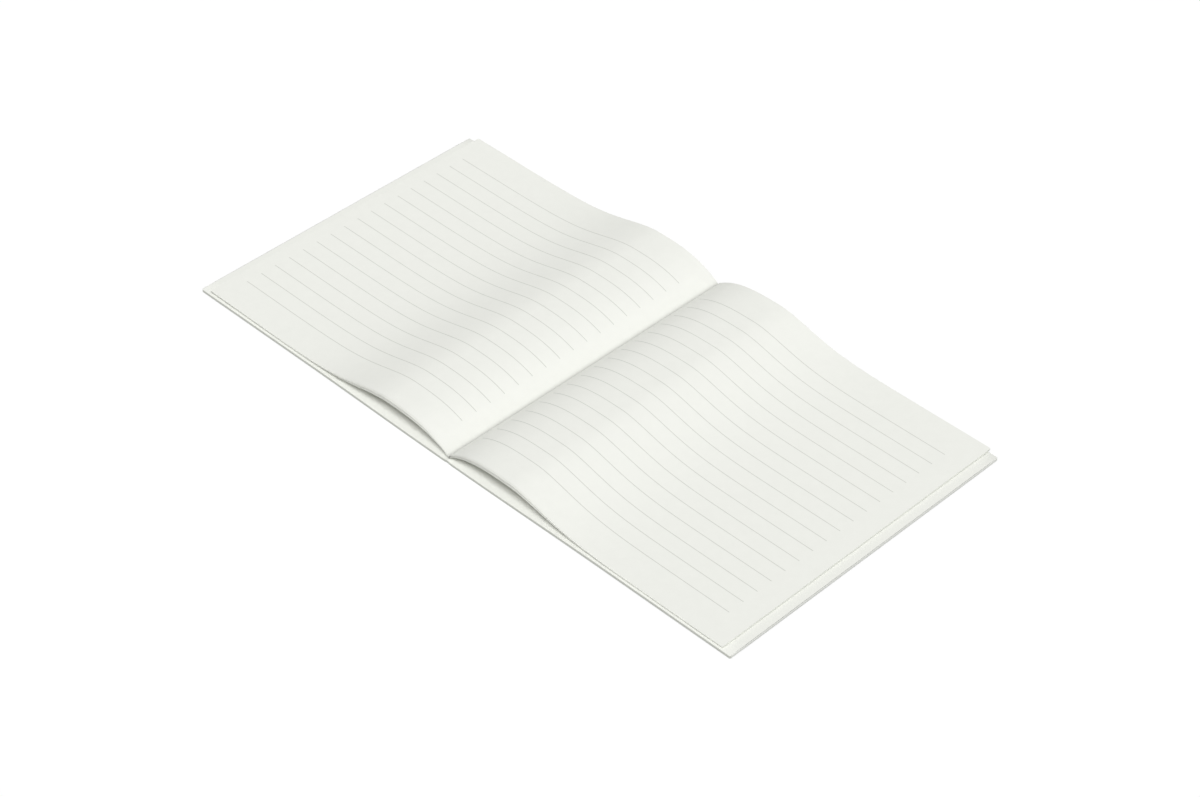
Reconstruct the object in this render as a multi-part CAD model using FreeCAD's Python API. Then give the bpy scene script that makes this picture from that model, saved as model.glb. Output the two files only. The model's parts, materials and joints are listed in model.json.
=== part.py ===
import FreeCAD, Part

import math
import os

# An open notebook of one sewn section, lying on its cover. Millimetres.
# X runs across the open book, the front half on -X, and Y runs up the page. The table is Z = 0,
# and the origin is on the table, under the middle of the fold.

# Cover: one piece of heavy card, creased at the spine
cover_height = 150.0
panel_width = 148.4
cover_thickness = 1.35
cover_corner_radius = 0.6
crease_half_width = 2.2
rest_strip_end = 9.0
panel_lift = 0.69
panel_lift_end = 81.0

# Leaves: folded once and nested, so each half is a thin stack that arches up beside the fold,
# where the leaves also spring a little apart
stack_thickness = 0.75
arch_spread = 1.5
fore_edge_margin = 4.6
page_slide = 0.7
page_excess = 0.5
page_corner_radius = 0.4
gutter_height = 1.69
nest_clearance = 0.2
nest_reach = 2.0

# Each half's arch: where its crest is, how high it stands above the flat panel, how the leaf
# rises to it and falls from it, and how far it stays off the panel beyond the arch
FRONT_ARCH = {
    "side": -1,
    "crest_distance": 33.5,
    "crest_height": 9.48,
    "rise_power": 2.88,
    "fall_length": 26.3,
    "fall_power": 1.86,
    "flat_gap": 0.45,
    "fore_edge_gap": 0.8,
}
BACK_ARCH = {
    "side": 1,
    "crest_distance": 33.8,
    "crest_height": 9.15,
    "rise_power": 3.25,
    "fall_length": 24.4,
    "fall_power": 1.77,
    "flat_gap": 0.29,
    "fore_edge_gap": 0.3,
}
fore_edge_bend = 48.0

# Thread: sewn through the fold, one run inside the middle sheet and one along the outside. The
# book lies open a few leaves away from its middle, so the inner run is covered by their folds
thread_diameter = 0.3
thread_seat = 0.02
thread_depth = 0.7
hole_clearance = 0.08
stitch_length = 7.5
stitch_end_margin = 7.5

# What follows from the sizes above
crease_height = thread_diameter + 2 * thread_seat
crease_top = cover_thickness + crease_height
panel_top = cover_thickness + panel_lift
page_width = panel_width - fore_edge_margin
page_height = cover_height + page_excess
fold_top = crease_top + gutter_height


def ease(t):
    """0 to 1, level at both ends."""
    t = min(max(t, 0.0), 1.0)
    return (1 - math.cos(math.pi * t)) / 2


def cover_under(x):
    """The cover's underside above the table, at a distance x from the fold."""
    crease = crease_height * (1 - ease(x / crease_half_width))
    lift = panel_lift * ease((x - rest_strip_end) / (panel_lift_end - rest_strip_end))
    return crease + lift


def arch_share(x, arch):
    """How far the arch has risen at a distance x from the fold: 0 at its feet, 1 at its crest."""
    if x < arch["crest_distance"]:
        return 1 - (1 - x / arch["crest_distance"]) ** arch["rise_power"]
    past_crest = (x - arch["crest_distance"]) / arch["fall_length"]
    return math.exp(-(past_crest ** arch["fall_power"]))


def page_top(x, arch):
    """The top leaf's height above the table, at a distance x from the fold."""
    crest = panel_top + arch["crest_height"]
    foot = fold_top
    if x > arch["crest_distance"]:
        bend = ease((x - page_width + fore_edge_bend) / fore_edge_bend)
        gap = arch["flat_gap"] + (arch["fore_edge_gap"] - arch["flat_gap"]) * bend
        foot = panel_top + gap + stack_thickness
    return foot + (crest - foot) * arch_share(x, arch)


def page_under(x, arch):
    """The lowest leaf's underside. At the fold the leaves nest down to the cover's crease."""
    thickness = stack_thickness + arch_spread * arch_share(x, arch)
    nest_depth = fold_top - stack_thickness - crease_top - nest_clearance
    nest = nest_depth * math.exp(-((x / nest_reach) ** 2))
    return page_top(x, arch) - thickness - nest


def stations(start, end, count):
    return [start + (end - start) * i / count for i in range(count + 1)]


def spline(points):
    curve = Part.BSplineCurve()
    curve.interpolate(points)
    return curve.toShape()


def run_along(side, height, distances):
    """An edge across the book through the given distances from the fold."""
    points = [FreeCAD.Vector(side * x, 0, height(x)) for x in distances]
    if len(points) == 2:
        return Part.makeLine(points[0], points[1])
    return spline(points)


def close_section(under, top):
    """The face between the edges of an underside and of a top, each listed from the fold out."""
    first_under = under[0].firstVertex().Point
    first_top = top[0].firstVertex().Point
    last_under = under[-1].lastVertex().Point
    last_top = top[-1].lastVertex().Point
    ends = [Part.makeLine(first_under, first_top), Part.makeLine(last_under, last_top)]
    return Part.Face(Part.Wire(Part.sortEdges(under + top + ends)[0]))


def round_outer_corners(solid, side, width, radius):
    """Rounds the two upright edges at the fore edge."""
    upright = [
        edge
        for edge in solid.Edges
        if all(abs(v.X - side * width) < 1e-6 for v in edge.Vertexes)
        and abs(edge.Vertexes[0].Y - edge.Vertexes[-1].Y) < 1e-6
    ]
    return solid.makeFillet(radius, upright)


def cover_panel(side):
    stretches = [
        stations(0, crease_half_width, 6),
        [crease_half_width, rest_strip_end],
        stations(rest_strip_end, panel_lift_end, 10),
        [panel_lift_end, panel_width],
    ]
    under = [run_along(side, cover_under, s) for s in stretches]
    top = [run_along(side, lambda x: cover_under(x) + cover_thickness, s) for s in stretches]
    section = close_section(under, top)
    section.translate(FreeCAD.Vector(0, -cover_height / 2, 0))
    panel = section.extrude(FreeCAD.Vector(0, cover_height, 0))
    return round_outer_corners(panel, side, panel_width, cover_corner_radius)


def page_stack(arch):
    side = arch["side"]
    crest = arch["crest_distance"]
    foot = crest + 2 * arch["fall_length"]
    distances = stations(0, crest, 12) + stations(crest, foot, 12)[1:]
    distances += stations(foot, page_width, 6)[1:]
    under = [run_along(side, lambda x: page_under(x, arch), distances)]
    top = [run_along(side, lambda x: page_top(x, arch), distances)]
    section = close_section(under, top)
    section.translate(FreeCAD.Vector(0, page_slide - cover_height / 2, 0))
    stack = section.extrude(FreeCAD.Vector(0, page_height, 0))
    return round_outer_corners(stack, side, page_width, page_corner_radius)


def stitch_places():
    """Where the thread goes through the fold, evenly spaced about the middle."""
    sewn = cover_height - 2 * stitch_end_margin
    count = int(round(sewn / stitch_length))
    pitch = sewn / count
    return [(i - count / 2) * pitch for i in range(count + 1)]


def rod_along_fold(radius, height, start, end):
    return Part.makeCylinder(
        radius, end - start, FreeCAD.Vector(0, start, height), FreeCAD.Vector(0, 1, 0)
    )


def upright_rod(radius, y, low, high):
    return Part.makeCylinder(radius, high - low, FreeCAD.Vector(0, y, low))


def sewing_thread():
    radius = thread_diameter / 2
    low = crease_height - thread_seat - radius
    high = fold_top - thread_depth
    places = stitch_places()
    thread = rod_along_fold(radius, low, places[0], places[-1])
    thread = thread.fuse(rod_along_fold(radius, high, places[0], places[-1]))
    for y in places:
        thread = thread.fuse(upright_rod(radius, y, low, high))
    return thread


def thread_space():
    """The needle holes, and the channel that the inner run lies in."""
    radius = thread_diameter / 2 + hole_clearance
    high = fold_top - thread_depth
    places = stitch_places()
    end_space = thread_diameter
    space = rod_along_fold(radius, high, places[0] - end_space, places[-1] + end_space)
    for y in places:
        space = space.fuse(upright_rod(radius, y, 0, high))
    return space


def save(name, shape):
    if len(shape.Solids) != 1 or not shape.isValid():
        raise ValueError(name + " is not one valid solid")
    solid = shape.Solids[0]
    solid.exportStep("parts/" + name + ".step")
    box = solid.BoundBox
    print(
        "%-14s volume %9.2f mm3  X %.2f..%.2f  Y %.2f..%.2f  Z %.3f..%.3f"
        % (name, solid.Volume, box.XMin, box.XMax, box.YMin, box.YMax, box.ZMin, box.ZMax)
    )


os.makedirs("parts", exist_ok=True)
space = thread_space()
save("front_cover", cover_panel(-1).cut(space))
save("back_cover", cover_panel(1).cut(space))
save("front_pages", page_stack(FRONT_ARCH).cut(space))
save("back_pages", page_stack(BACK_ARCH).cut(space))
save("sewing_thread", sewing_thread())
print("fold line %.3f mm above the table" % fold_top)
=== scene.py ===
import json
import math

import bmesh
import bpy
from mathutils import Matrix, Vector


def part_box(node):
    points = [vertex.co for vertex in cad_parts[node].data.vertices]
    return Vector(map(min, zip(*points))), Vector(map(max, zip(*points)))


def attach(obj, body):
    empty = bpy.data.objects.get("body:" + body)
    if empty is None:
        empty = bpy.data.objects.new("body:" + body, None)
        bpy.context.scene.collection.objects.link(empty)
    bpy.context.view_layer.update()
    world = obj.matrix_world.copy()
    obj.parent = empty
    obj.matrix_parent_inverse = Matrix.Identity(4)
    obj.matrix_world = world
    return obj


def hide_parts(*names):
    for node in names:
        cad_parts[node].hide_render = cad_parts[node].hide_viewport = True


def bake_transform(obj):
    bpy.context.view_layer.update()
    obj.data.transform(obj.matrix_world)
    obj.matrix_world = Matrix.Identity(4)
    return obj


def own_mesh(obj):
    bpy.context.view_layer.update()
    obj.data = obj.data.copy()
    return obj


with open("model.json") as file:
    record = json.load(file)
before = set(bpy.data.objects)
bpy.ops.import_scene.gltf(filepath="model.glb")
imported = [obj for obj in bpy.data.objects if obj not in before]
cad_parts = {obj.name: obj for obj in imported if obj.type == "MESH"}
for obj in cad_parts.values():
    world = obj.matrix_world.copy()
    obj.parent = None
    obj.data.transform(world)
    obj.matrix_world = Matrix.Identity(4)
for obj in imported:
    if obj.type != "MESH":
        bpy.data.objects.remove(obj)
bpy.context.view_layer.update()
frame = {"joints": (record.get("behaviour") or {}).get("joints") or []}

mm = 0.001

# An open notebook lying on its cover. X runs across it, with the front half on -X, Y runs up the
# page and the table is Z = 0. Lengths are metres, written as millimetres times mm.

# Cover: one piece of heavy white card. It is creased down the middle, so it folds there with a
# bead inside and a groove outside, and it is cut to size with its corners barely rounded.
card_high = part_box("back_cover")[1]
panel_width = card_high.x
cover_half_height = card_high.y
cover_thickness = 1.35 * mm
cover_corner_radius = 0.6 * mm
cut_edge_softness = 0.1 * mm
crease_half_width = 2.2 * mm
crease_height = 0.34 * mm
rest_strip_end = 9 * mm
panel_lift = card_high.z - cover_thickness
panel_lift_end = 81 * mm

# Longest steps of the cover's mesh: over the crease, the rest strips, the rising part and the
# flat part, and up the page
crease_step = 0.11 * mm
rest_strip_step = 1.7 * mm
panel_rise_step = 4 * mm
panel_step = 8 * mm
cover_row_step = 7.5 * mm

# Faces that meet at more than the first angle show a sharp corner between them, and the cover's
# cut edges are softened where they meet at more than the second
corner_angle = math.radians(25)
rim_angle = math.radians(60)


def ease(t):
    """0 to 1, level at both ends."""
    t = min(max(t, 0), 1)
    return (1 - math.cos(math.pi * t)) / 2


def cover_under(x):
    """The cover's underside above the table. It rests on a strip each side of the crease."""
    crease = crease_height * (1 - ease(abs(x) / crease_half_width))
    return crease + panel_lift * ease((abs(x) - rest_strip_end) / (panel_lift_end - rest_strip_end))


def steps(start, end, longest):
    """Evenly spaced values after start, up to end, no more than longest apart."""
    count = math.ceil(abs(end - start) / longest - 1e-6)
    return [start + (end - start) * (i + 1) / count for i in range(count)]


def corner_steps(end, radius, count=6):
    """Places up to end that divide a corner's arc evenly."""
    return [end - radius * (1 - math.sin(math.pi / 2 * i / count)) for i in range(1, count + 1)]


def corner_narrowing(x, end, radius):
    """How much a plate's edge has turned in at x, where its corner is rounded."""
    into = max(abs(x) - (end - radius), 0)
    return radius - math.sqrt(max(radius ** 2 - into ** 2, 0))


def plate(columns, rows, under, over, end, radius, inked=None):
    """A closed thin plate on a grid of columns along X and rows along Y, with rounded corners.

    Its walls at the ends of the columns have the material of index 1, the other walls index 2,
    and the faces that inked picks index 3."""
    grid = bmesh.new()
    middle = (rows[0] + rows[-1]) / 2
    half = (rows[-1] - rows[0]) / 2
    layers = []
    for height in (under, over):
        layer = []
        for x in columns:
            share = (half - corner_narrowing(x, end, radius)) / half
            places = [middle + (y - middle) * share for y in rows]
            layer.append([grid.verts.new((x, y, height(x, y))) for y in places])
        layers.append(layer)
    low, high = layers
    for i in range(len(columns) - 1):
        for j in range(len(rows) - 1):
            grid.faces.new([low[i][j], low[i][j + 1], low[i + 1][j + 1], low[i + 1][j]])
            face = grid.faces.new([high[i][j], high[i + 1][j], high[i + 1][j + 1], high[i][j + 1]])
            if inked and inked((columns[i] + columns[i + 1]) / 2, (rows[j] + rows[j + 1]) / 2):
                face.material_index = 3
    rim = [(i, 0) for i in range(len(columns))]
    rim += [(len(columns) - 1, j) for j in range(1, len(rows))]
    rim += [(i, len(rows) - 1) for i in reversed(range(len(columns) - 1))]
    rim += [(0, j) for j in reversed(range(1, len(rows) - 1))]
    for (i, j), (k, m) in zip(rim, rim[1:] + rim[:1]):
        wall = grid.faces.new([low[i][j], low[k][m], high[k][m], high[i][j]])
        wall.material_index = 1 if j == m else 2
    bmesh.ops.recalc_face_normals(grid, faces=grid.faces)
    return grid


def make_piece(name, shape, materials):
    """Turns a finished shape into a shown piece, smooth but for its corners."""
    mesh = bpy.data.meshes.new(name)
    shape.to_mesh(mesh)
    shape.free()
    for material in materials:
        mesh.materials.append(material)
    mesh.polygons.foreach_set("use_smooth", [True] * len(mesh.polygons))
    mesh.set_sharp_from_angle(angle=corner_angle)
    piece = bpy.data.objects.new(name, mesh)
    bpy.context.scene.collection.objects.link(piece)
    return piece


def linear(hex_colour):
    """An sRGB hex colour as the linear values that a shader takes."""
    parts = [int(hex_colour[i:i + 2], 16) / 255 for i in (1, 3, 5)]
    return [c / 12.92 if c <= 0.04045 else ((c + 0.055) / 1.055) ** 2.4 for c in parts] + [1.0]


def add_node(tree, kind, settings=None, links=None):
    """Adds a shader node with its properties or socket values, and feeds its sockets."""
    node = tree.nodes.new("ShaderNode" + kind)
    for key, value in (settings or {}).items():
        if isinstance(key, int) or key in node.inputs:
            node.inputs[key].default_value = value
        else:
            setattr(node, key, value)
    for key, output in (links or {}).items():
        tree.links.new(output, node.inputs[key])
    return node


def new_material(name):
    material = bpy.data.materials.new(name)
    material.use_nodes = True
    material.node_tree.nodes.clear()
    return material, material.node_tree


# White card, pressed smooth on both faces: an even matt face with soft clouds a few millimetres
# wide where the pulp settled. The real pulp fibres are 0.03 mm wide, too fine to show, so they
# are drawn 0.3 mm wide.
card_cloud = 5 * mm
card_fibre_width = 0.3 * mm
card_fibre_length = 2.4 * mm
card_face, tree = new_material("pressed_white_card")
place = add_node(tree, "TexCoord").outputs["Object"]
clouds = add_node(
    tree,
    "TexNoise",
    {"Scale": 1 / card_cloud, "Detail": 3.0, "Roughness": 0.55},
    {"Vector": place},
)
fibre_scale = (1 / card_fibre_length, 1 / card_fibre_width, 1 / card_fibre_width)
fibre_places = add_node(tree, "Mapping", {"Scale": fibre_scale}, {"Vector": place})
fibres = add_node(
    tree,
    "TexNoise",
    {"Scale": 1.0, "Detail": 2.0, "Distortion": 1.2},
    {"Vector": fibre_places.outputs["Vector"]},
)
tone = add_node(
    tree,
    "Mix",
    {"data_type": "RGBA", 6: linear("#EBECE6"), 7: linear("#EEEFE9")},
    {0: clouds.outputs["Fac"]},
)
bump = add_node(
    tree, "Bump", {"Strength": 0.03, "Distance": 0.02 * mm}, {"Height": fibres.outputs["Fac"]}
)
shader = add_node(
    tree,
    "BsdfPrincipled",
    {"Roughness": 0.75, "IOR": 1.45, "Specular IOR Level": 0.25},
    {"Base Color": tone.outputs["Result"], "Normal": bump.outputs["Normal"]},
)
add_node(tree, "OutputMaterial", links={"Surface": shader.outputs["BSDF"]})

# The same card cut through: matt, and built of layers that show as fine lines along the edge.
# Real layers are about 0.1 mm thick, and are drawn 0.22 mm thick so that they show. The head
# and tail edges are coloured greyer than the trimmed fore edges, which is painted shade.
card_layer = 0.22 * mm
card_layer_run = 6 * mm


def card_edge_material(name, dark_colour, light_colour):
    """Card cut through. The two colours are its darker and its lighter layers."""
    edge, tree = new_material(name)
    place = add_node(tree, "TexCoord").outputs["Object"]
    layer_scale = (1 / card_layer_run, 1 / card_layer_run, 1 / card_layer)
    layer_places = add_node(tree, "Mapping", {"Scale": layer_scale}, {"Vector": place})
    layers = add_node(
        tree, "TexNoise", {"Scale": 1.0, "Detail": 2.0}, {"Vector": layer_places.outputs["Vector"]}
    )
    tone = add_node(
        tree,
        "Mix",
        {"data_type": "RGBA", 6: linear(dark_colour), 7: linear(light_colour)},
        {0: layers.outputs["Fac"]},
    )
    bump = add_node(
        tree, "Bump", {"Strength": 0.2, "Distance": 0.03 * mm}, {"Height": layers.outputs["Fac"]}
    )
    shader = add_node(
        tree,
        "BsdfPrincipled",
        {"Roughness": 0.95, "IOR": 1.45, "Specular IOR Level": 0.1},
        {"Base Color": tone.outputs["Result"], "Normal": bump.outputs["Normal"]},
    )
    add_node(tree, "OutputMaterial", links={"Surface": shader.outputs["BSDF"]})
    return edge


# The head and tail edges take greyer colours than the fore edges as painted shade
card_head_and_tail_edge_painted_shade = card_edge_material("white_card_head_and_tail_edge_painted_shade", "#C8CAC2", "#D2D4CD")
card_trimmed_edge = card_edge_material("trimmed_edge_of_white_card", "#EAEBE5", "#F2F3EE")

half_columns = steps(0, crease_half_width, crease_step)
half_columns += steps(crease_half_width, rest_strip_end, rest_strip_step)
half_columns += steps(rest_strip_end, panel_lift_end, panel_rise_step)
half_columns += steps(panel_lift_end, panel_width - cover_corner_radius, panel_step)
half_columns += corner_steps(panel_width, cover_corner_radius)
columns = [-x for x in reversed(half_columns)] + [0.0] + half_columns
rows = [-cover_half_height] + steps(-cover_half_height, cover_half_height, cover_row_step)
card = plate(
    columns,
    rows,
    lambda x, y: cover_under(x),
    lambda x, y: cover_under(x) + cover_thickness,
    panel_width,
    cover_corner_radius,
)
rim_edges = [e for e in card.edges if e.calc_face_angle() > rim_angle]
bmesh.ops.bevel(
    card, geom=rim_edges, offset=cut_edge_softness, segments=2, profile=0.5, affect="EDGES"
)
cover = make_piece("cover", card, [card_face, card_head_and_tail_edge_painted_shade, card_trimmed_edge])
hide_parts("front_cover", "back_cover")
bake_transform(cover)

# Leaves: thin sheets of uncoated writing paper, folded once and nested into one section, so each
# half has one leaf of every sheet. They spring up and apart in an arch beside the fold, with air
# under them, and the sheets have slid a little along the fold.
leaf_low, leaf_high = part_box("back_pages")
page_width = leaf_high.x
page_near = leaf_low.y
page_far = leaf_high.y
panel_top = card_high.z
fold_top = frame["joints"][0]["pos_m"][2]
stack_thickness = 0.75 * mm
arch_spread = 1.5 * mm
leaf_thickness = 0.085 * mm
page_corner_radius = 0.4 * mm
nest_clearance = 0.2 * mm
nest_reach = 2 * mm
fold_half_width = 0.3 * mm
arches = {
    "front": {
        "side": -1,
        "crest_distance": 33.5 * mm,
        "crest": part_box("front_pages")[1].z,
        "rise_power": 2.88,
        "fall_length": 26.3 * mm,
        "fall_power": 1.86,
        "flat_gap": 0.45 * mm,
        "fore_edge_gap": 0.8 * mm,
    },
    "back": {
        "side": 1,
        "crest_distance": 33.8 * mm,
        "crest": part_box("back_pages")[1].z,
        "rise_power": 3.25,
        "fall_length": 24.4 * mm,
        "fall_power": 1.77,
        "flat_gap": 0.29 * mm,
        "fore_edge_gap": 0.3 * mm,
    },
}
fore_edge_bend = 48 * mm

# How far each sheet has slid up the page, in millimetres, from the lowest sheet to the top one
sheet_slides = [0.2, 0.1, 0.25, 0.15, 0.05, 0.2, 0.0, 0.4]
sheet_length = page_far - page_near - max(sheet_slides) * mm
thread_channel_low = 2.5 * mm
thread_channel_high = 2.86 * mm
sheets_below_thread = 6
gutter_depth = 0.3 * mm
gutter_reach = 0.5 * mm

# Longest steps of a leaf's mesh: by the fold, over the arch, over the flat part, by the fore
# edge, up a plain leaf, up a ruled one, and across and along the folds. The arch is taken to
# end at so many fall lengths from its crest.
arch_fall_lengths = 2.4
gutter_step = 0.5 * mm
arch_step = 1.2 * mm
flat_step = 4 * mm
fore_edge_step = 2 * mm
plain_row_step = 15 * mm
ruled_row_step = 4 * mm
fold_step = 0.05 * mm
fold_row_step = 7.5 * mm


def arch_share(x, arch):
    """How far the arch has risen at a distance x from the fold: 0 at its feet, 1 at its crest."""
    if x < arch["crest_distance"]:
        return 1 - (1 - x / arch["crest_distance"]) ** arch["rise_power"]
    past_crest = (x - arch["crest_distance"]) / arch["fall_length"]
    return math.exp(-(past_crest ** arch["fall_power"]))


def section_top(x, arch):
    """The top leaf's height at a distance x from the fold, where it dips into a narrow gutter."""
    gutter = gutter_depth * math.exp(-((x / gutter_reach) ** 2))
    foot = fold_top
    if x > arch["crest_distance"]:
        bend = ease((x - page_width + fore_edge_bend) / fore_edge_bend)
        gap = arch["flat_gap"] + (arch["fore_edge_gap"] - arch["flat_gap"]) * bend
        foot = panel_top + gap + stack_thickness
    return foot + (arch["crest"] - foot) * arch_share(x, arch) - gutter


def fold_height(sheet):
    """The sheet's underside at the fold. The sheets leave room for the thread among them."""
    lowest = cover_thickness + crease_height + nest_clearance
    highest = fold_top - gutter_depth - leaf_thickness
    if sheet < sheets_below_thread:
        top = thread_channel_low - leaf_thickness
        return lowest + (top - lowest) * sheet / (sheets_below_thread - 1)
    above = sheet - sheets_below_thread
    count = len(sheet_slides) - sheets_below_thread
    return thread_channel_high + (highest - thread_channel_high) * above / (count - 1)


def leaf_under(x, sheet, arch):
    """A leaf's underside at a distance x from the fold.

    The leaves lie close, spring apart over the arch, and nest round the thread at the fold."""
    depth = 1 - sheet / (len(sheet_slides) - 1)
    close = (stack_thickness - leaf_thickness) * depth
    spread = arch_spread * depth * arch_share(x, arch)
    stacked = section_top(x, arch) - leaf_thickness - close - spread
    nest = fold_height(sheet) - (fold_top - gutter_depth - leaf_thickness - close)
    return stacked + nest * math.exp(-((x / nest_reach) ** 2))


# Uncoated writing paper: matt, soft off-white, with faint clouds where its fibres lie thicker.
# The fibres are 0.02 mm wide, too fine to show, so they are drawn 0.25 mm wide. Along the fold
# the colour is darkened by painted shade of the gutter, with a little dulling of the crushed
# fibres, wider on the front half.
crease_dulling_and_shade_reach = 6 * mm
# Places across the fold in millimetres, each with the share of the paper's colour kept there
# under the painted shade and dulling
crease_dulling_and_painted_shade = [
    (-6, 1.0),
    (-2.1, 0.98),
    (-1.3, 0.96),
    (-0.85, 0.93),
    (-0.45, 0.84),
    (0, 0.66),
    (0.7, 0.9),
    (1.6, 1.0),
]
paper_cloud = 4 * mm
paper_fibre_width = 0.25 * mm
paper_fibre_length = 1.8 * mm
paper_fibre_turns = (0.5, 2.1)


def paper_material(name, thin_colour, thick_colour):
    """Uncoated paper, bare or printed. The two colours are its thinner and its thicker clouds."""
    paper, tree = new_material(name)
    place = add_node(tree, "TexCoord").outputs["Object"]
    clouds = add_node(
        tree,
        "TexNoise",
        {"Scale": 1 / paper_cloud, "Detail": 4.0, "Roughness": 0.6},
        {"Vector": place},
    )
    heights = []
    for turn in paper_fibre_turns:
        turned = add_node(tree, "Mapping", {"Rotation": (0, 0, turn)}, {"Vector": place})
        scale = (1 / paper_fibre_length, 1 / paper_fibre_width, 1 / paper_fibre_width)
        drawn = add_node(tree, "Mapping", {"Scale": scale}, {"Vector": turned.outputs["Vector"]})
        heights.append(
            add_node(
                tree,
                "TexNoise",
                {"Scale": 1.0, "Detail": 2.0, "Distortion": 1.5},
                {"Vector": drawn.outputs["Vector"]},
            ).outputs["Fac"]
        )
    felt = add_node(tree, "Math", {"operation": "MAXIMUM"}, {0: heights[0], 1: heights[1]})
    tone = add_node(
        tree,
        "Mix",
        {"data_type": "RGBA", 6: linear(thin_colour), 7: linear(thick_colour)},
        {0: clouds.outputs["Fac"]},
    )
    split_place = add_node(tree, "SeparateXYZ", links={"Vector": place})
    across = add_node(
        tree,
        "MapRange",
        {"From Min": -crease_dulling_and_shade_reach, "From Max": crease_dulling_and_shade_reach},
        {"Value": split_place.outputs["X"]},
    )
    # Painted shade of the gutter along the fold, with a little dulling of the crushed fibres
    crease_shade_and_dulling = add_node(tree, "ValToRGB", links={"Fac": across.outputs["Result"]})
    stops = crease_shade_and_dulling.color_ramp.elements
    while len(stops) < len(crease_dulling_and_painted_shade):
        stops.new(0.5)
    for stop, (x, kept) in zip(stops, crease_dulling_and_painted_shade):
        stop.position = (x * mm / crease_dulling_and_shade_reach + 1) / 2
        stop.color = (kept, kept, kept, 1)
    tone = add_node(
        tree,
        "Mix",
        {"data_type": "RGBA", "blend_type": "MULTIPLY", 0: 1.0},
        {6: tone.outputs["Result"], 7: crease_shade_and_dulling.outputs["Color"]},
    )
    bump = add_node(
        tree, "Bump", {"Strength": 0.15, "Distance": 0.03 * mm}, {"Height": felt.outputs["Value"]}
    )
    shader = add_node(
        tree,
        "BsdfPrincipled",
        {"Roughness": 0.9, "IOR": 1.45, "Specular IOR Level": 0.15},
        {"Base Color": tone.outputs["Result"], "Normal": bump.outputs["Normal"]},
    )
    add_node(tree, "OutputMaterial", links={"Surface": shader.outputs["BSDF"]})
    return paper


page_paper = paper_material("uncoated_writing_paper", "#EBECE6", "#F0F1EB")

# The same paper cut through, as matt. Its head and tail edges are a little duller than its
# trimmed fore edges, which is painted shade. The ruling's thin ink soaks in, so it is only
# greyer than the paper round it.
# The head and tail edges take duller colours than the fore edges as painted shade
paper_head_and_tail_edge_painted_shade = paper_material("writing_paper_head_and_tail_edge_painted_shade", "#E4E5DF", "#EEEFE9")
paper_trimmed_edge = paper_material("trimmed_edge_of_writing_paper", "#ECEDE7", "#F2F3ED")
paper_faces = [page_paper, paper_head_and_tail_edge_painted_shade, paper_trimmed_edge]
ruling_ink = paper_material("pale_grey_ruling_ink", "#CBCDC6", "#D5D7D0")

# Ruling: seventeen fine lines of pale grey ink, printed on the flat sheets before they are
# folded. They show on both pages of the spread, as faces of the top leaf's own mesh.
ruling_count = 17
ruling_pitch = 7.545 * mm
ruling_middle = 0.57 * mm
ruling_width = 0.35 * mm
ruling_ends = {"front": (7.6 * mm, 137.6 * mm), "back": (4 * mm, 133.6 * mm)}
first_ruling = ruling_middle - (ruling_count - 1) / 2 * ruling_pitch
ruling_rows = [first_ruling + i * ruling_pitch for i in range(ruling_count)]


def leaf(half, sheet):
    """One half of a sheet, from the edge of its fold to the fore edge."""
    arch = arches[half]
    near = page_near + sheet_slides[sheet] * mm
    far = near + sheet_length
    start, end = ruling_ends[half]
    arch_end = arch["crest_distance"] + arch_fall_lengths * arch["fall_length"]
    distances = [fold_half_width] + steps(fold_half_width, start, gutter_step)
    distances += steps(start, arch_end, arch_step) + steps(arch_end, end, flat_step)
    distances += steps(end, page_width - page_corner_radius, fore_edge_step)
    distances += corner_steps(page_width, page_corner_radius)
    ruled = sheet == len(sheet_slides) - 1
    if ruled:
        rows = [near]
        for y in ruling_rows:
            rows += steps(rows[-1], y - ruling_width / 2, ruled_row_step) + [y + ruling_width / 2]
        rows += steps(rows[-1], far, ruled_row_step)
    else:
        rows = [near] + steps(near, far, plain_row_step)

    def inked(x, y):
        on_line = any(abs(y - line) < ruling_width / 2 for line in ruling_rows)
        return ruled and start < abs(x) < end and on_line

    shape = plate(
        [arch["side"] * x for x in distances],
        rows,
        lambda x, y: leaf_under(abs(x), sheet, arch),
        lambda x, y: leaf_under(abs(x), sheet, arch) + leaf_thickness,
        page_width,
        page_corner_radius,
        inked,
    )
    return make_piece(f"{half}_leaf_{sheet + 1}", shape, paper_faces + [ruling_ink])


# Each leaf goes with its half of the notebook, with a mesh of its own
for half, body in (("front", "front_half"), ("back", "back_half")):
    for sheet in range(len(sheet_slides)):
        piece = leaf(half, sheet)
        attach(piece, body)
        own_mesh(piece)
        if sheet == 0:
            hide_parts(half + "_pages")


# Folds: the middle of every sheet, where its two leaves join. The paper is pressed sharp there,
# each fold is nested in the one below, and the thread's inner run lies among them.
def fold_under(x, sheet):
    """A sheet's underside at x, on either side of the fold."""
    return leaf_under(abs(x), sheet, arches["front" if x < 0 else "back"])


folds = bmesh.new()
for sheet, slide in enumerate(sheet_slides):
    near = page_near + slide * mm
    distances = steps(0, fold_half_width, fold_step)
    fold = plate(
        [-x for x in reversed(distances)] + [0.0] + distances,
        [near] + steps(near, near + sheet_length, fold_row_step),
        lambda x, y: fold_under(x, sheet),
        lambda x, y: fold_under(x, sheet) + leaf_thickness,
        page_width,
        page_corner_radius,
    )
    part = bpy.data.meshes.new("fold")
    fold.to_mesh(part)
    fold.free()
    folds.from_mesh(part)
    bpy.data.meshes.remove(part)
sheet_folds = make_piece("sheet_folds", folds, paper_faces)
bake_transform(sheet_folds)

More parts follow.
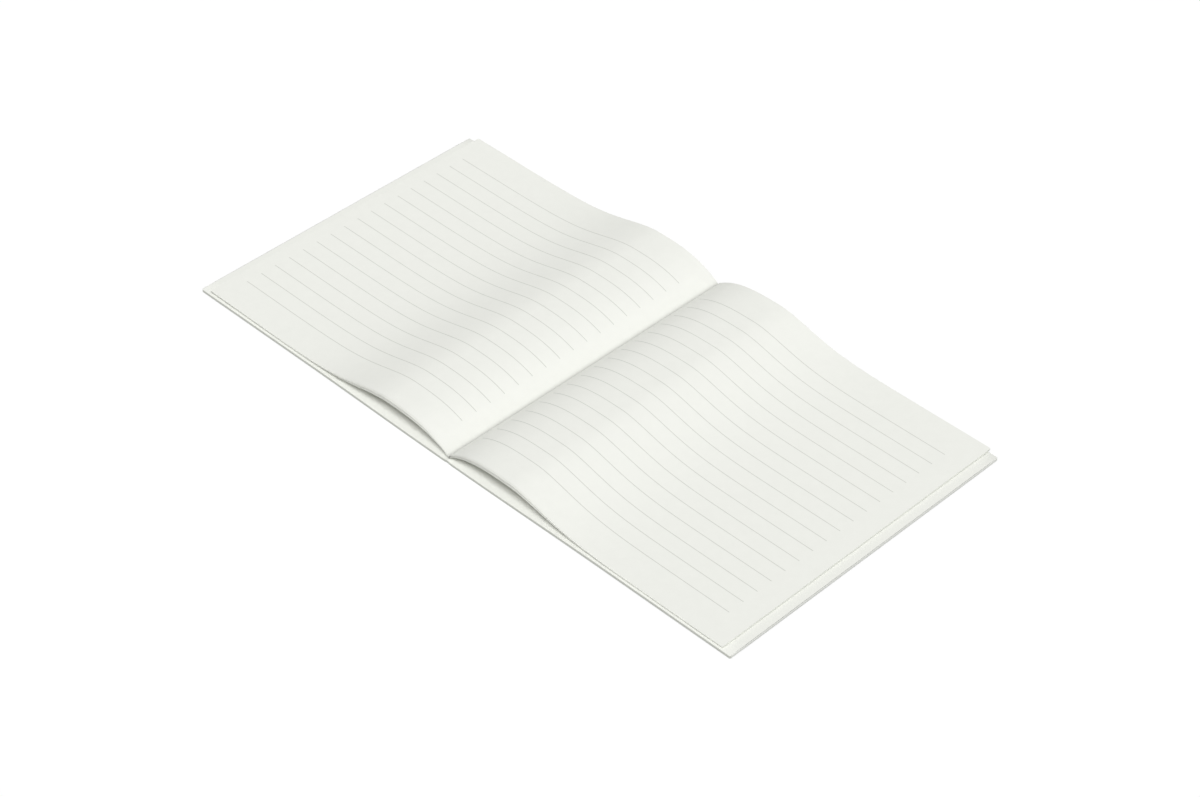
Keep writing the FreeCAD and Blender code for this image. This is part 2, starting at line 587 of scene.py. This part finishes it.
# Sewing thread: two plies of cotton twisted together. It runs along the groove outside and again
# inside the middle sheet, and at each needle hole the two runs pull together through the fold.
thread_diameter = 0.3 * mm
thread_twist = 0.9 * mm
thread_point_gap = 0.09 * mm
stitch_length = 7.5 * mm
sewn_half_length = 67.5 * mm
stitch_dip = 0.22 * mm
stitch_dip_reach = 0.5 * mm
outer_run_height = 0.17 * mm
inner_run_height = 2.68 * mm
ply_radius = thread_diameter / 4
hair_width = 0.1 * mm


def ply(shape, run_height, dip, start_turn):
    """One ply of one run, as a tube that twists round the run's own line."""
    ring_sides = 7
    rings = []
    for y in [-sewn_half_length] + steps(-sewn_half_length, sewn_half_length, thread_point_gap):
        to_hole = (y + sewn_half_length + stitch_length / 2) % stitch_length - stitch_length / 2
        z = run_height + dip * math.exp(-((to_hole / stitch_dip_reach) ** 2))
        turn = start_turn + 2 * math.pi * y / thread_twist
        centre = Vector((ply_radius * math.cos(turn), y, z + ply_radius * math.sin(turn)))
        rings.append(
            [
                shape.verts.new(centre + ply_radius * Vector((math.cos(a), 0, math.sin(a))))
                for a in (2 * math.pi * k / ring_sides for k in range(ring_sides))
            ]
        )
    for ring, after in zip(rings, rings[1:]):
        for k in range(ring_sides):
            m = (k + 1) % ring_sides
            shape.faces.new([ring[k], ring[m], after[m], after[k]])
    shape.faces.new(rings[0])
    shape.faces.new(rings[-1])


# Spun cotton: off-white and matt, mottled by its hairs, which give its edges a faint sheen. The
# hairs are 0.015 mm wide, too fine to show, so they are drawn 0.1 mm wide.
cotton, tree = new_material("twisted_cotton_thread")
place = add_node(tree, "TexCoord").outputs["Object"]
hairs = add_node(tree, "TexNoise", {"Scale": 1 / hair_width, "Detail": 2.0}, {"Vector": place})
tone = add_node(
    tree,
    "Mix",
    {"data_type": "RGBA", 6: linear("#E2E3DB"), 7: linear("#F3F4EE")},
    {0: hairs.outputs["Fac"]},
)
bump = add_node(
    tree, "Bump", {"Strength": 0.4, "Distance": 0.02 * mm}, {"Height": hairs.outputs["Fac"]}
)
shader = add_node(
    tree,
    "BsdfPrincipled",
    {"Roughness": 0.8, "IOR": 1.5, "Sheen Weight": 0.2, "Sheen Roughness": 0.5},
    {"Base Color": tone.outputs["Result"], "Normal": bump.outputs["Normal"]},
)
add_node(tree, "OutputMaterial", links={"Surface": shader.outputs["BSDF"]})

runs = bmesh.new()
for run_height, dip in ((outer_run_height, stitch_dip), (inner_run_height, -stitch_dip)):
    for start_turn in (0, math.pi):
        ply(runs, run_height, dip, start_turn)
bmesh.ops.recalc_face_normals(runs, faces=runs.faces)
thread = make_piece("sewing_thread_plies", runs, [cotton])
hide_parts("sewing_thread")
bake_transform(thread)

# Table and studio light: a white sweep that keeps a faint shadow of the notebook, an even white
# surround, and one broad soft lamp above the near right corner
floor_size = 12.0
floor_drop = 0.02 * mm
table_reflectance = 0.6
sweep_reflectance = 0.25
sweep_glow = 0.76
floor_mesh = bmesh.new()
bmesh.ops.create_grid(floor_mesh, x_segments=1, y_segments=1, size=floor_size / 2)
for vert in floor_mesh.verts:
    vert.co.z = -floor_drop

# White paper sweep: the eye sees an almost even white, while the notebook is lit from below by
# what a matt pale grey table would send back
white_sweep, tree = new_material("white_paper_sweep")
ray = add_node(tree, "LightPath")
seen_or_mirrored = add_node(
    tree,
    "Math",
    {"operation": "MAXIMUM"},
    {0: ray.outputs["Is Camera Ray"], 1: ray.outputs["Is Glossy Ray"]},
)
seen = add_node(
    tree,
    "Math",
    {"operation": "MAXIMUM"},
    {0: seen_or_mirrored.outputs["Value"], 1: ray.outputs["Is Transmission Ray"]},
)
lit = add_node(tree, "BsdfDiffuse", {"Color": [table_reflectance] * 3 + [1]})
shadow = add_node(tree, "BsdfDiffuse", {"Color": [sweep_reflectance] * 3 + [1]})
glow = add_node(tree, "Emission", {"Color": linear("#FFFFFF"), "Strength": sweep_glow})
white = add_node(tree, "AddShader", links={0: shadow.outputs["BSDF"], 1: glow.outputs["Emission"]})
mixed = add_node(
    tree,
    "MixShader",
    links={0: seen.outputs["Value"], 1: lit.outputs["BSDF"], 2: white.outputs["Shader"]},
)
add_node(tree, "OutputMaterial", links={"Surface": mixed.outputs["Shader"]})
floor = make_piece("floor", floor_mesh, [white_sweep])

# Surround: the notebook is lit evenly and softly from all round, and the eye sees plain white
surround_strength = 0.34
world = bpy.data.worlds.new("studio_surround")
bpy.context.scene.world = world
world.use_nodes = True
tree = world.node_tree
tree.nodes.clear()
ray = add_node(tree, "LightPath")
soft = add_node(tree, "Background", {"Color": linear("#FFFFFF"), "Strength": surround_strength})
white = add_node(tree, "Background", {"Color": linear("#FFFFFF"), "Strength": 1.0})
mixed = add_node(
    tree,
    "MixShader",
    links={
        0: ray.outputs["Is Camera Ray"],
        1: soft.outputs["Background"],
        2: white.outputs["Background"],
    },
)
add_node(tree, "OutputWorld", links={"Surface": mixed.outputs["Shader"]})

# Light that the right side, the near side and a level surface take from the lamp: +X, -Y and +Z
lamp_light = Vector((0.3, -0.31, 0.66))
lamp_width = math.radians(24)
lamp_data = bpy.data.lights.new("studio_lamp", "SUN")
lamp_data.energy = lamp_light.length * math.pi
lamp_data.angle = lamp_width
lamp = bpy.data.objects.new("studio_lamp", lamp_data)
bpy.context.scene.collection.objects.link(lamp)
lamp.rotation_mode = "QUATERNION"
lamp.rotation_quaternion = lamp_light.to_track_quat("Z", "Y")

# Camera: a long lens, looking down across the book from beyond its near right corner
camera_place = (628.6 * mm, -618.5 * mm, 744.2 * mm)
camera_azimuth = 45.11
camera_elevation = 40.64
camera_roll = -0.08
camera_data = bpy.data.cameras.new("camera")
camera_data.lens = 87.15
camera_data.sensor_width = 36
camera_data.clip_start = 0.01
camera_data.clip_end = 50
camera = bpy.data.objects.new("camera", camera_data)
bpy.context.scene.collection.objects.link(camera)
camera.matrix_world = (
    Matrix.Translation(camera_place)
    @ Matrix.Rotation(math.radians(camera_azimuth), 4, "Z")
    @ Matrix.Rotation(math.radians(90 - camera_elevation), 4, "X")
    @ Matrix.Rotation(math.radians(camera_roll), 4, "Z")
)
bpy.context.scene.camera = camera
bpy.context.scene.view_settings.view_transform = "Standard"
